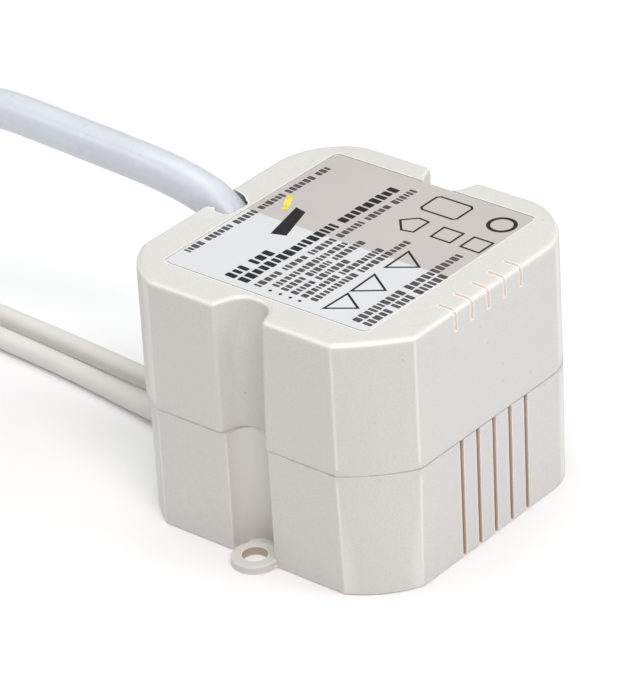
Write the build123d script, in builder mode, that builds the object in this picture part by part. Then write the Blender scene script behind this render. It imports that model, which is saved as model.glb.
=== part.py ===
from build123d import *
from math import cos, pi, radians, sin, sqrt, tan
import os

os.makedirs("parts", exist_ok=True)

# Electronic lighting transformer: a two-part plastic case whose square plan has
# its corners cut to a circle, with a mains lead out of the top border of the back
# (+Y) and two secondary leads out of the foot of the back.
# Frame: millimetres, origin at the bottom centre of the case, +Z up, the slotted
# face looks along -Y and the two mounting ears lie on the X axis.

# ---------------------------------------------------------------- case
H_CASE = 40.4  # standing height
H_SPLIT = 19.4  # parting line between base and cover
HALF_BASE = 24.97  # from the middle to the front face at the parting line, base
HALF_TOP = 24.68  # the same at the top of the cover
# Plan of the case at four heights. The moulding is not quite even: the corner
# between the left and front faces is cut nearly flat, the other three are rounder.
# Each corner: first point, last point, bulge, softening of its two upright edges,
# in the order front right, back right, back left, front left.
PLAN_TOP = [
    ((16.2, -24.68), (25.4, -15.2), 1.6, 8.0),
    ((25.4, 16.6), (14.6, 24.95), 2.15, 8.0),
    ((-16.6, 24.8), (-24.68, 16.6), 1.2, 2.0),
    ((-24.68, -16.25), (-16.25, -24.68), 0.3, 1.4),
]
PLAN_COVER = [
    ((16.3, -24.82), (25.4, -15.8), 1.5, 8.0),
    ((25.4, 16.5), (15.0, 24.95), 1.9, 8.0),
    ((-16.4, 24.9), (-24.82, 16.5), 1.2, 2.0),
    ((-24.82, -16.3), (-16.3, -24.82), 0.65, 1.4),
]
PLAN_BASE = [
    ((16.3, -24.97), (25.45, -16.0), 1.35, 8.0),
    ((25.45, 16.3), (15.6, 25.0), 1.9, 8.0),
    ((-16.3, 25.0), (-24.97, 16.3), 0.8, 2.0),
    ((-24.97, -16.3), (-16.3, -24.97), 0.65, 1.4),
]
PLAN_FOOT = [
    ((16.7, -24.88), (25.2, -16.5), 1.0, 8.0),
    ((25.2, 16.5), (16.4, 24.9), 1.05, 8.0),
    ((-16.7, 24.88), (-24.88, 16.5), 0.5, 2.0),
    ((-24.88, -16.72), (-16.72, -24.88), 1.05, 1.4),
]
CAVITY_HALF, CAVITY_FLAT, CAVITY_SAG = 23.05, 15.25, 0.55
FLOOR = 1.6
CEILING = 38.3
TOP_ROUND = 1.0

# side grooves that give a screwdriver a way to the ears
GROOVE_MOUTH = 24.85  # where the mouth half width is measured
# (side along X, middle in Y, half width at the mouth, depth of the floor from the
# middle of the case, half width at the floor, rounding between wall and floor)
GROOVES_TOP = ((-1, 0.3, 4.5, 20.1, 2.7, 3.3), (1, 0.0, 4.3, 20.6, 2.7, 3.3))
GROOVES_COVER = ((-1, 0.55, 4.05, 20.75, 2.7, 3.2), (1, 0.0, 4.0, 21.0, 2.7, 3.2))
GROOVES_BASE = ((-1, -0.2, 3.8, 20.4, 3.2, 3.1), (1, -0.2, 3.8, 20.8, 3.2, 3.1))
GROOVE_WALL = 1.45
GROOVE_ROUND = 0.7  # cover, at the mouth and over the top

# mounting ears
EAR_X, EAR_Y = 25.4, -0.85
EAR_R = 3.5
EAR_T = 1.25
EAR_HOLE_R = 1.88
EAR_WEB_T = 0.45  # thin web behind the ring, to the floor of the groove

# label and its recess
LABEL_X, LABEL_Y = 1.05, 0.4
RECESS_L, RECESS_W, RECESS_D = 40.1, 37.0, 0.34
LABEL_T = 0.22

# slots and slits of the -Y face
SLOT_X0, SLOT_PITCH, SLOT_N = 0.42, 3.8, 5
SLOT_W = 0.85
SLOT_DEEP = 0.9
SLIT_W = 0.6
SLIT_BACK = 3.0
SLIT_DOWN = 3.2
SLIT_DEEP = 0.4

# mains lead
MAINS_R = 3.05
MAINS_PTS = [
    (0.45, 14.8, 29.6),
    (0.45, 22.2, 38.75),
    (0.3, 32.0, 41.7),
    (0.1, 48.0, 42.7),
    (0, 76.0, 44.0),
    (-2.5, 99.0, 27.0),
    (-7.0, 121.0, 3.08),
    (-12.0, 150.0, 3.08),
    (-11.0, 176.0, 3.08),
]
# secondary leads
SEC_R = 1.65
SEC_A_PTS = [
    (1.7, 12.0, 3.4),
    (1.7, 27.5, 3.4),
    (2.9, 41.0, 1.7),
    (4.1, 55.0, 1.7),
    (5.0, 70.0, 1.7),
    (5.9, 88.0, 1.7),
    (10.5, 110.0, 1.7),
    (18.0, 132.0, 1.7),
    (19.0, 156.0, 1.7),
]
SEC_B_PTS = [
    (-5.8, 12.0, 3.4),
    (-5.8, 26.5, 3.4),
    (-3.5, 38.6, 1.7),
    (-1.3, 54.0, 1.7),
    (-0.2, 70.0, 1.7),
    (0.7, 86.0, 1.7),
    (4.5, 106.0, 1.7),
    (11.0, 128.0, 1.7),
    (11.5, 152.0, 1.7),
]

# circuit board
BOARD_Z, BOARD_T = 8.0, 1.6
TOP_Z = BOARD_Z + BOARD_T
BOARD_HALF, BOARD_FLAT = 22.4, 15.0
POSTS = [(-16.9, -17.6), (16.9, -17.6), (-16.9, 17.6), (16.9, 17.6)]


def outline_points(half, flat):
    return [
        (-flat, -half),
        (flat, -half),
        (half, -flat),
        (half, flat),
        (flat, half),
        (-flat, half),
        (-half, flat),
        (-half, -flat),
    ]


def outline(z, half, flat, sag, soft=0.0):
    """Square with four bulged cut corners at height z; soft rounds its eight corners."""
    p = outline_points(half, flat)
    with BuildSketch(Plane.XY.offset(z)) as s:
        with BuildLine():
            for i in range(8):
                a, b = p[i], p[(i + 1) % 8]
                if i % 2 == 0:
                    Line(a, b)
                else:
                    mx, my = (a[0] + b[0]) / 2, (a[1] + b[1]) / 2
                    k = 1 + sag / sqrt(mx * mx + my * my)
                    ThreePointArc(a, (mx * k, my * k), b)
        make_face()
        if soft:
            fillet(s.vertices(), soft)
    return s.sketch


def plan(z, corners):
    """Outline of the case at height z from its four corners."""
    with BuildSketch(Plane.XY.offset(z)) as s:
        with BuildLine():
            for i, (a, b, bulge, _) in enumerate(corners):
                mx, my = (a[0] + b[0]) / 2, (a[1] + b[1]) / 2
                dx, dy = b[1] - a[1], a[0] - b[0]
                k = bulge / sqrt(dx * dx + dy * dy)
                ThreePointArc(a, (mx + dx * k, my + dy * k), b)
                Line(b, corners[(i + 1) % 4][0])
        make_face()
        for a, b, _, soft in corners:
            for end in (a, b):
                fillet(s.vertices().sort_by_distance((end[0], end[1], z))[0], soft)
    return s.sketch


def groove(z, side, yc, mouth_half, floor, floor_half, rounding, grow=0.0, out=27.5):
    """Flared side groove at height z with a round floor; side is -1 or 1 along X."""
    fx = floor - grow
    fh = floor_half + grow * 0.9
    mh = fh + (mouth_half - floor_half) / (GROOVE_MOUTH - floor) * (out - fx)
    with BuildSketch(Plane.XY.offset(z)) as s:
        with BuildLine():
            Polyline(
                (side * fx, yc - fh),
                (side * fx, yc + fh),
                (side * out, yc + mh),
                (side * out, yc - mh),
                close=True,
            )
        make_face()
        fillet(s.vertices().sort_by(Axis.X, reverse=side < 0)[:2], rounding)
    return s.sketch


def between(low, high, z_low, z_high, z):
    """Groove values at height z on the straight line through two heights."""
    t = (z - z_low) / (z_high - z_low)
    return (low[0],) + tuple(a + (b - a) * t for a, b in zip(low[1:], high[1:]))


def cavity(z, grooves):
    """Room inside the walls, less the walls of the two side grooves."""
    room = outline(0, CAVITY_HALF, CAVITY_FLAT, CAVITY_SAG)
    walls = [groove(0, *values, grow=GROOVE_WALL) for values in grooves]
    with BuildSketch(Plane.XY.offset(z)) as s:
        add(room)
        for wall in walls:
            add(wall, mode=Mode.SUBTRACT)
    return s.sketch


def arc_radii(pts):
    """Radius at each inner vertex: 0.45 of the shorter run over tan(half turn)."""
    radii = []
    for a, b, c in zip(pts, pts[1:], pts[2:]):
        u, v = Vector(b) - Vector(a), Vector(c) - Vector(b)
        turn = radians(u.get_angle(v))
        radii.append(0.45 * min(u.length, v.length) / tan(turn / 2))
    return radii


def run_length(pts, radii):
    total = sum((Vector(b) - Vector(a)).length for a, b in zip(pts, pts[1:]))
    for a, b, c, r in zip(pts, pts[1:], pts[2:], radii):
        turn = radians((Vector(b) - Vector(a)).get_angle(Vector(c) - Vector(b)))
        total += r * turn - 2 * r * tan(turn / 2)
    return total


MAINS_ARCS = arc_radii(MAINS_PTS)
SEC_A_ARCS = arc_radii(SEC_A_PTS)
SEC_B_ARCS = arc_radii(SEC_B_PTS)

# ---------------------------------------------------------------- cover
COVER_OUTLINES = [plan(H_SPLIT, PLAN_COVER), plan(H_CASE, PLAN_TOP)]
COVER_GROOVES = [
    [groove(z, *between(low, high, H_SPLIT, H_CASE, z)) for z in (H_SPLIT - 1, H_CASE + 1)]
    for low, high in zip(GROOVES_COVER, GROOVES_TOP)
]
COVER_ROOM = cavity(H_SPLIT, GROOVES_TOP)

with BuildPart() as cover_shell:
    loft(sections=COVER_OUTLINES, ruled=True)
    # rounded top edge
    fillet(cover_shell.faces().sort_by(Axis.Z)[-1].edges(), TOP_ROUND)
    # side grooves
    for pair in COVER_GROOVES:
        loft(sections=pair, ruled=True, mode=Mode.SUBTRACT)
    # the rounding runs up each mouth edge and on round the top of the groove
    fillet(
        [
            e
            for e in cover_shell.edges()
            if abs(e.position_at(0.5).X) > 24 and abs(e.position_at(0.5).Y) < 6 and e.length > 15
        ],
        GROOVE_ROUND,
    )
    # room inside
    extrude(to_extrude=COVER_ROOM, amount=CEILING - H_SPLIT, mode=Mode.SUBTRACT)
    # walls of the pocket that the mains lead leaves by
    with BuildSketch(Plane.XY.offset(33.4)):
        with Locations((0.05, 20.9)):
            Rectangle(10.6, 5.6)
    extrude(amount=CEILING + 0.4 - 33.4)
    with BuildSketch(Plane.XY.offset(33.0)):
        with Locations((-0.7, 21.2)):
            RectangleRounded(5.2, 3.4, 1.2)
    extrude(amount=9.0, mode=Mode.SUBTRACT)
    # round way for the lead, a little wider than the lead, open at the top
    with BuildLine() as lead_way:
        FilletPolyline(*MAINS_PTS[:4], radius=MAINS_ARCS[:2])
    with BuildSketch(Plane(origin=MAINS_PTS[0], z_dir=(lead_way.line % 0))):
        Circle(MAINS_R + 0.3)
    sweep(path=lead_way.line, mode=Mode.SUBTRACT)
    # label recess
    with BuildSketch(Plane.XY.offset(H_CASE - RECESS_D)):
        with Locations((LABEL_X, LABEL_Y)):
            RectangleRounded(RECESS_L, RECESS_W, 1.0)
    extrude(amount=3.0, mode=Mode.SUBTRACT)
    # five thin slits folded over the front top edge
    with BuildSketch(Plane.XY.offset(H_CASE - SLIT_DOWN)):
        with Locations((SLOT_X0, -HALF_TOP)):
            with GridLocations(SLOT_PITCH, 1, SLOT_N, 1):
                Rectangle(SLIT_W, 2 * SLIT_DEEP)
    extrude(amount=SLIT_DOWN + 1, mode=Mode.SUBTRACT)
    with BuildSketch(Plane.XY.offset(H_CASE - SLIT_DEEP)):
        with Locations((SLOT_X0, -HALF_TOP + SLIT_BACK / 2 - 0.5)):
            with GridLocations(SLOT_PITCH, 1, SLOT_N, 1):
                Rectangle(SLIT_W, SLIT_BACK + 1)
    extrude(amount=3, mode=Mode.SUBTRACT)
cover_shell.part.label = "cover_shell"
export_step(cover_shell.part, "parts/cover_shell.step")

# ---------------------------------------------------------------- base
BASE_OUTLINES = [plan(0.0, PLAN_FOOT), plan(H_SPLIT, PLAN_BASE)]
BASE_GROOVES = [groove(-1, *values) for values in GROOVES_BASE]
BASE_ROOM = cavity(FLOOR, GROOVES_BASE)

with BuildPart() as base_shell:
    loft(sections=BASE_OUTLINES, ruled=True)
    fillet(base_shell.faces().sort_by(Axis.Z)[0].edges(), 0.3)
    # side grooves
    for cut in BASE_GROOVES:
        extrude(to_extrude=cut, amount=H_SPLIT + 3, mode=Mode.SUBTRACT)
    fillet(
        [
            e
            for e in base_shell.edges()
            if abs(e.position_at(0.5).X) > 24 and abs(e.position_at(0.5).Y) < 6 and e.length > 4
        ],
        0.3,
    )
    # room inside, with posts and pins for the board
    extrude(to_extrude=BASE_ROOM, amount=H_SPLIT + 1, mode=Mode.SUBTRACT)
    with BuildSketch(Plane.XY.offset(FLOOR - 0.2)):
        with Locations(*POSTS):
            Circle(2.0)
    extrude(amount=BOARD_Z - FLOOR + 0.2)
    with BuildSketch(Plane.XY.offset(BOARD_Z - 0.2)):
        with Locations(*POSTS):
            Circle(0.8)
    extrude(amount=BOARD_T + 0.9)
    # two tongues that the cover slides over, along the front and back walls
    with BuildSketch(Plane.XY.offset(H_SPLIT - 1.8)):
        for way in (-1, 1):
            with Locations((0, way * 22.6)):
                Rectangle(27.0, 1.1)
    extrude(amount=1.8)
    with BuildSketch(Plane.XY.offset(H_SPLIT)):
        for way in (-1, 1):
            with Locations((0, way * 22.4)):
                Rectangle(27.0, 0.7)
    extrude(amount=1.8)
    # ears at the foot of the grooves: a ring that joins the walls at its flanks
    with BuildSketch(Plane.XY):
        with Locations((-EAR_X, EAR_Y), (EAR_X, EAR_Y)):
            Circle(EAR_R)
    extrude(amount=EAR_T)
    with BuildSketch(Plane.XY):
        for side in (-1, 1):
            with Locations((side * (EAR_X - 2.9), EAR_Y)):
                Rectangle(5.8, 2 * EAR_R + 0.4)
    extrude(amount=EAR_WEB_T)
    fillet(
        [
            e
            for e in base_shell.edges().filter_by(GeomType.CIRCLE)
            if abs(e.position_at(0.5).X) > EAR_X + 1 and abs(e.position_at(0.5).Z - EAR_T) < 0.01
        ],
        0.2,
    )
    with Locations((-EAR_X, EAR_Y, EAR_T), (EAR_X, EAR_Y, EAR_T)):
        Hole(EAR_HOLE_R, depth=EAR_T + 1)
    # ventilation slots from the parting line to the foot of the front face
    with BuildSketch(Plane.XY.offset(-1)):
        with Locations((SLOT_X0, -HALF_BASE)):
            with GridLocations(SLOT_PITCH, 1, SLOT_N, 1):
                Rectangle(SLOT_W, 2 * SLOT_DEEP)
    extrude(amount=H_SPLIT + 1, mode=Mode.SUBTRACT)
    # round exits of the secondary leads
    with BuildSketch(Plane.XZ.offset(-(CAVITY_HALF - 1.0))):
        with Locations((SEC_A_PTS[0][0], SEC_A_PTS[0][2]), (SEC_B_PTS[0][0], SEC_B_PTS[0][2])):
            Circle(SEC_R + 0.3)
    extrude(amount=-4.0, mode=Mode.SUBTRACT)
base_shell.part.label = "base_shell"
export_step(base_shell.part, "parts/base_shell.step")

# ---------------------------------------------------------------- label
with BuildPart() as rating_label:
    with BuildSketch(Plane.XY.offset(H_CASE - RECESS_D)):
        with Locations((LABEL_X + 0.15, LABEL_Y)):
            RectangleRounded(RECESS_L - 0.46, RECESS_W - 0.2, 1.5)
    extrude(amount=LABEL_T)
rating_label.part.label = "rating_label"
export_step(rating_label.part, "parts/rating_label.step")

# ---------------------------------------------------------------- board
BOARD_OUTLINE = outline(BOARD_Z, BOARD_HALF, BOARD_FLAT, 0.3)
with BuildPart() as circuit_board:
    extrude(to_extrude=BOARD_OUTLINE, amount=BOARD_T)
    with BuildSketch(Plane.XY.offset(BOARD_Z - 1)):
        for side in (-1, 1):
            with Locations((side * 21.2, 0)):
                Rectangle(6.4, 13.2)
        with Locations(*POSTS):
            Circle(1.1)
    extrude(amount=BOARD_T + 2, mode=Mode.SUBTRACT)
circuit_board.part.label = "circuit_board"
export_step(circuit_board.part, "parts/circuit_board.step")

# ---------------------------------------------------------------- output transformer
CORE_Y = -8.6  # where the halves meet
CORE_Z = 15.3
CORE_L, CORE_W, CORE_T = 12.6, 25.0, 7.5
LEG = 7.5
YOKE = 3.2
SIDE_LEG = 3.6


with BuildPart() as ferrite_core_front:
    with BuildSketch(Plane.XY.offset(CORE_Z)):
        with Locations((0, CORE_Y - (CORE_L - YOKE / 2))):
            Rectangle(CORE_W, YOKE)
        with Locations((0, CORE_Y - CORE_L / 2)):
            Rectangle(LEG, CORE_L)
            with GridLocations(CORE_W - SIDE_LEG, 1, 2, 1):
                Rectangle(SIDE_LEG, CORE_L)
    extrude(amount=CORE_T)
ferrite_core_front.part.label = "ferrite_core_front"
export_step(ferrite_core_front.part, "parts/ferrite_core_front.step")

with BuildPart() as ferrite_core_rear:
    with BuildSketch(Plane.XY.offset(CORE_Z)):
        with Locations((0, CORE_Y + (CORE_L - YOKE / 2))):
            Rectangle(CORE_W, YOKE)
        with Locations((0, CORE_Y + CORE_L / 2)):
            Rectangle(LEG, CORE_L)
            with GridLocations(CORE_W - SIDE_LEG, 1, 2, 1):
                Rectangle(SIDE_LEG, CORE_L)
    extrude(amount=CORE_T)
ferrite_core_rear.part.label = "ferrite_core_rear"
export_step(ferrite_core_rear.part, "parts/ferrite_core_rear.step")

COIL_Z = CORE_Z + CORE_T / 2
WINDOW = 2 * (CORE_L - YOKE)
with BuildPart() as coil_former:
    with BuildSketch(Plane.XZ.offset(-(CORE_Y - WINDOW / 2 + 0.1))):
        with Locations((0, COIL_Z)):
            Rectangle(9.6, 9.6)
    extrude(amount=-(WINDOW - 0.2))
    for y0 in (CORE_Y - WINDOW / 2 + 0.1, CORE_Y + WINDOW / 2 - 1.1):
        with BuildSketch(Plane.XZ.offset(-y0)):
            with Locations((0, COIL_Z)):
                RectangleRounded(17.2, 17.2, 1.0)
            with Locations((0, TOP_Z + 1.5)):
                Rectangle(15.0, 3.0)
        extrude(amount=-1.0)
    with BuildSketch(Plane.XZ.offset(-(CORE_Y - WINDOW / 2 - 1))):
        with Locations((0, COIL_Z)):
            Rectangle(8.0, 8.0)
    extrude(amount=-(WINDOW + 2), mode=Mode.SUBTRACT)
coil_former.part.label = "coil_former"
export_step(coil_former.part, "parts/coil_former.step")

with BuildPart() as primary_winding:
    with BuildSketch(Plane.XZ.offset(-(CORE_Y - 8.1))):
        with Locations((0, COIL_Z)):
            RectangleRounded(13.2, 13.2, 1.6)
            Rectangle(9.7, 9.7, mode=Mode.SUBTRACT)
    extrude(amount=-16.2)
primary_winding.part.label = "primary_winding"
export_step(primary_winding.part, "parts/primary_winding.step")

with BuildPart() as insulation_tape:
    with BuildSketch(Plane.XZ.offset(-(CORE_Y - 7.9))):
        with Locations((0, COIL_Z)):
            RectangleRounded(14.2, 14.2, 2.1)
            RectangleRounded(13.8, 13.8, 1.9, mode=Mode.SUBTRACT)
    extrude(amount=-15.8)
insulation_tape.part.label = "insulation_tape"
export_step(insulation_tape.part, "parts/insulation_tape.step")

with BuildPart() as secondary_winding:
    with BuildSketch(Plane.XZ.offset(-(CORE_Y - 7.0))):
        with Locations((0, COIL_Z)):
            RectangleRounded(16.9, 16.9, 3.2)
            RectangleRounded(14.8, 14.8, 2.4, mode=Mode.SUBTRACT)
    extrude(amount=-14.0)
secondary_winding.part.label = "secondary_winding"
export_step(secondary_winding.part, "parts/secondary_winding.step")

# ---------------------------------------------------------------- drive toroid
TOR = (-1.4, 10.2)
with BuildPart() as drive_core:
    with BuildSketch(Plane.XY.offset(10.6)):
        with Locations(TOR):
            Circle(4.3)
            Circle(2.5, mode=Mode.SUBTRACT)
    extrude(amount=3.7)
    fillet(drive_core.edges().filter_by(GeomType.CIRCLE), 0.35)
drive_core.part.label = "drive_core"
export_step(drive_core.part, "parts/drive_core.step")

with BuildPart() as drive_windings:
    with BuildSketch(Plane(origin=(TOR[0], TOR[1], 0), x_dir=(1, 0, 0), z_dir=(0, -1, 0))):
        with Locations((3.4, 12.45)):
            RectangleRounded(3.5, 5.2, 0.9)
            RectangleRounded(2.5, 4.3, 0.5, mode=Mode.SUBTRACT)
    revolve(axis=Axis((TOR[0], TOR[1], 0), (0, 0, 1)), revolution_arc=360)
    # three separate groups of turns
    with BuildSketch(Plane.XY.offset(9)):
        with Locations(TOR):
            with PolarLocations(0, 3, 30):
                with Locations((4.0, 0)):
                    Rectangle(8.0, 2.7)
    extrude(amount=8, mode=Mode.INTERSECT)
drive_windings.part.label = "drive_windings"
export_step(drive_windings.part, "parts/drive_windings.step")

# ---------------------------------------------------------------- transistors on their heat sink
SINK_X0, SINK_T = 15.5, 1.5
PAD_T = 0.2
TAB_X = SINK_X0 + SINK_T + PAD_T
TR_Y = (-11.4, 11.4)
RIVET_Z = 29.2
with BuildPart() as heat_sink:
    with BuildSketch(Plane.YZ.offset(SINK_X0)):
        with Locations((0, 21.3)):
            RectangleRounded(33.0, 21.6, 0.8)
        with Locations((0, TOP_Z + 0.9)):
            with GridLocations(24, 1, 2, 1):
                Rectangle(2.4, 1.8)
        with Locations((TR_Y[0], RIVET_Z), (TR_Y[1], RIVET_Z)):
            Circle(1.8, mode=Mode.SUBTRACT)
    extrude(amount=SINK_T)
heat_sink.part.label = "heat_sink"
export_step(heat_sink.part, "parts/heat_sink.step")

with BuildPart() as transistor_pads:
    with BuildSketch(Plane.YZ.offset(SINK_X0 + SINK_T)):
        with Locations((TR_Y[0], 24.4), (TR_Y[1], 24.4)):
            Rectangle(10.4, 15.0)
        with Locations((TR_Y[0], RIVET_Z), (TR_Y[1], RIVET_Z)):
            Circle(1.8, mode=Mode.SUBTRACT)
    extrude(amount=PAD_T)
transistor_pads.part.label = "transistor_pads"
export_step(transistor_pads.part, "parts/transistor_pads.step")

with BuildPart() as transistors:
    with BuildSketch(Plane.YZ.offset(TAB_X)):
        for y in TR_Y:
            with Locations((y, 24.4)):
                Rectangle(9.8, 14.6)
    extrude(amount=1.3)
    with BuildSketch(Plane.YZ.offset(TAB_X)):
        for y in TR_Y:
            with Locations((y, 21.5)):
                Rectangle(9.8, 8.8)
    extrude(amount=4.3)
    chamfer(
        transistors.faces().sort_by(Axis.X)[-2:].edges().filter_by(Axis.Z),
        0.6,
    )
    with BuildSketch(Plane.XY.offset(TOP_Z)):
        for y in TR_Y:
            with Locations((TAB_X + 2.6, y)):
                with GridLocations(1, 2.54, 1, 3):
                    Rectangle(0.5, 0.8)
    extrude(amount=17.3 - TOP_Z)
    with BuildSketch(Plane.YZ.offset(TAB_X - 1)):
        with Locations((TR_Y[0], RIVET_Z), (TR_Y[1], RIVET_Z)):
            Circle(1.8)
    extrude(amount=6, mode=Mode.SUBTRACT)
transistors.part.label = "transistors"
export_step(transistors.part, "parts/transistors.step")

with BuildPart() as rivets:
    with BuildSketch(Plane.YZ.offset(SINK_X0)):
        with Locations((TR_Y[0], RIVET_Z), (TR_Y[1], RIVET_Z)):
            Circle(1.45)
    extrude(amount=SINK_T + PAD_T + 1.3)
    with BuildSketch(Plane.YZ.offset(SINK_X0)):
        with Locations((TR_Y[0], RIVET_Z), (TR_Y[1], RIVET_Z)):
            Circle(2.7)
    extrude(amount=-1.2)
    with BuildSketch(Plane.YZ.offset(TAB_X + 1.3)):
        with Locations((TR_Y[0], RIVET_Z), (TR_Y[1], RIVET_Z)):
            Circle(2.5)
    extrude(amount=1.2)
rivets.part.label = "rivets"
export_step(rivets.part, "parts/rivets.step")

with BuildPart() as thermal_cutout:
    with BuildSketch(Plane.XY.offset(18.0)):
        with Locations((SINK_X0 - 1.1, 6.6)):
            Rectangle(2.2, 3.8)
    extrude(amount=7.0)
    with BuildSketch(Plane.XY.offset(TOP_Z)):
        with Locations((SINK_X0 - 1.1, 6.6)):
            with GridLocations(1, 2.0, 1, 2):
                Circle(0.3)
    extrude(amount=18.2 - TOP_Z)
thermal_cutout.part.label = "thermal_cutout"
export_step(thermal_cutout.part, "parts/thermal_cutout.step")

# ---------------------------------------------------------------- capacitors, choke, fuse
with BuildPart() as bridging_capacitors:
    with BuildSketch(Plane.XY.offset(TOP_Z + 0.3)):
        for y in TR_Y:
            with Locations((-18.8, y)):
                RectangleRounded(5.4, 9.8, 0.5)
    extrude(amount=11.0)
    with BuildSketch(Plane.XY.offset(TOP_Z)):
        for y in TR_Y:
            with Locations((-18.8, y)):
                with GridLocations(1, 7.5, 1, 2):
                    Circle(0.35)
    extrude(amount=0.5)
bridging_capacitors.part.label = "bridging_capacitors"
export_step(bridging_capacitors.part, "parts/bridging_capacitors.step")

with BuildPart() as input_capacitor:
    with BuildSketch(Plane.XY.offset(TOP_Z + 0.3)):
        with Locations((-7.3, 18.7)):
            RectangleRounded(14.8, 5.8, 0.5)
    extrude(amount=12.5)
    with BuildSketch(Plane.XY.offset(TOP_Z)):
        with Locations((-7.3, 18.7)):
            with GridLocations(12.5, 1, 2, 1):
                Circle(0.35)
    extrude(amount=0.5)
input_capacitor.part.label = "input_capacitor"
export_step(input_capacitor.part, "parts/input_capacitor.step")

CHOKE = (8.5, 17.2)
with BuildPart() as choke_core:
    with BuildSketch(Plane.XY.offset(TOP_Z + 0.3)):
        with Locations(CHOKE):
            Circle(4.4)
    extrude(amount=1.4)
    with BuildSketch(Plane.XY.offset(TOP_Z + 0.3)):
        with Locations(CHOKE):
            Circle(1.9)
    extrude(amount=11.6)
    with BuildSketch(Plane.XY.offset(TOP_Z + 10.5)):
        with Locations(CHOKE):
            Circle(4.4)
    extrude(amount=1.4)
    with BuildSketch(Plane.XY.offset(TOP_Z)):
        with Locations(CHOKE):
            with GridLocations(5.0, 1, 2, 1):
                Circle(0.35)
    extrude(amount=0.5)
choke_core.part.label = "choke_core"
export_step(choke_core.part, "parts/choke_core.step")

with BuildPart() as choke_winding:
    with BuildSketch(Plane.XY.offset(TOP_Z + 1.8)):
        with Locations(CHOKE):
            Circle(4.0)
            Circle(2.25, mode=Mode.SUBTRACT)
    extrude(amount=8.6)
choke_winding.part.label = "choke_winding"
export_step(choke_winding.part, "parts/choke_winding.step")

with BuildPart() as fuse:
    with BuildSketch(Plane.XY.offset(TOP_Z + 0.3)):
        with Locations((-10.9, 10.0)):
            Circle(4.2)
    extrude(amount=7.6)
    fillet(fuse.faces().sort_by(Axis.Z)[-1].edges(), 0.6)
    with BuildSketch(Plane.XY.offset(TOP_Z)):
        with Locations((-10.9, 10.0)):
            with GridLocations(5.08, 1, 2, 1):
                Circle(0.3)
    extrude(amount=0.5)
fuse.part.label = "fuse"
export_step(fuse.part, "parts/fuse.step")

with BuildPart() as start_capacitor:
    with BuildSketch(Plane.XY.offset(TOP_Z + 0.3)):
        with Locations((8.1, 8.3)):
            Circle(2.5)
    extrude(amount=11.0)
    fillet(start_capacitor.faces().sort_by(Axis.Z)[-1].edges(), 0.4)
    with BuildSketch(Plane.XY.offset(TOP_Z)):
        with Locations((8.1, 8.3)):
            with GridLocations(2.0, 1, 2, 1):
                Circle(0.25)
    extrude(amount=0.5)
start_capacitor.part.label = "start_capacitor"
export_step(start_capacitor.part, "parts/start_capacitor.step")

# ---------------------------------------------------------------- small leaded parts
ROW_Y = (-17.6, -10.9, -4.2, 2.5)


def leaded(places, radius, length, wire, gap, reach):
    """Round bodies lying along Y, each with its two bent wires."""
    with BuildPart() as group:
        for x, y in places:
            z = TOP_Z + gap + radius
            with BuildSketch(Plane.XZ.offset(-(y - length / 2))):
                with Locations((x, z)):
                    Circle(radius)
            extrude(amount=-length)
            with BuildSketch(Plane.XZ.offset(-(y - reach))):
                with Locations((x, z)):
                    Circle(wire)
            extrude(amount=-2 * reach)
            with BuildSketch(Plane.XY.offset(TOP_Z)):
                with Locations((x, y - reach), (x, y + reach)):
                    Circle(wire)
            extrude(amount=z - TOP_Z)
            with Locations((x, y - reach, z), (x, y + reach, z)):
                Sphere(wire)
    return group.part


RECTIFIER_DIODES_SHAPES = leaded([(-14.4, y) for y in ROW_Y], 1.35, 4.4, 0.4, 0.6, 2.8)
with BuildPart() as rectifier_diodes:
    add(RECTIFIER_DIODES_SHAPES)
rectifier_diodes.part.label = "rectifier_diodes"
export_step(rectifier_diodes.part, "parts/rectifier_diodes.step")

RESISTORS_SHAPES = leaded([(11.9, y) for y in ROW_Y], 1.15, 4.6, 0.3, 0.6, 2.9)
with BuildPart() as resistors:
    add(RESISTORS_SHAPES)
resistors.part.label = "resistors"
export_step(resistors.part, "parts/resistors.step")

TRIGGER_DIODE_SHAPES = leaded([(12.4, 9.0)], 0.9, 3.2, 0.25, 0.5, 2.1)
with BuildPart() as trigger_diode:
    add(TRIGGER_DIODE_SHAPES)
trigger_diode.part.label = "trigger_diode"
export_step(trigger_diode.part, "parts/trigger_diode.step")

# ---------------------------------------------------------------- mains lead
with BuildPart() as mains_lead:
    with BuildLine() as mains_line:
        FilletPolyline(*MAINS_PTS, radius=MAINS_ARCS)
    with BuildSketch(Plane(origin=MAINS_PTS[0], z_dir=(mains_line.line % 0))):
        Circle(MAINS_R)
    sweep(path=mains_line.line)
mains_lead.part.label = "mains_lead"
export_step(mains_lead.part, "parts/mains_lead.step")

# ring pressed round the lead inside, so that it can't be pulled out
lead_dir = (Vector(MAINS_PTS[1]) - Vector(MAINS_PTS[0])).normalized()
ring_at = Vector(MAINS_PTS[0]) + lead_dir * 1.0
with BuildPart() as cable_retainer:
    with BuildSketch(Plane(origin=ring_at, z_dir=lead_dir)):
        Circle(4.7)
        Circle(MAINS_R + 0.3, mode=Mode.SUBTRACT)
    extrude(amount=2.4)
cable_retainer.part.label = "cable_retainer"
export_step(cable_retainer.part, "parts/cable_retainer.step")

CORE_R = 1.1
CORE_GAP = 1.35


def wire(pts, radii, r):
    """Round wire of radius r along points joined by arcs."""
    with BuildPart() as w:
        with BuildLine() as line:
            FilletPolyline(*pts, radius=radii)
        with BuildSketch(Plane(origin=pts[0], z_dir=(line.line % 0))):
            Circle(r)
        sweep(path=line.line)
    return w.part


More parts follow.
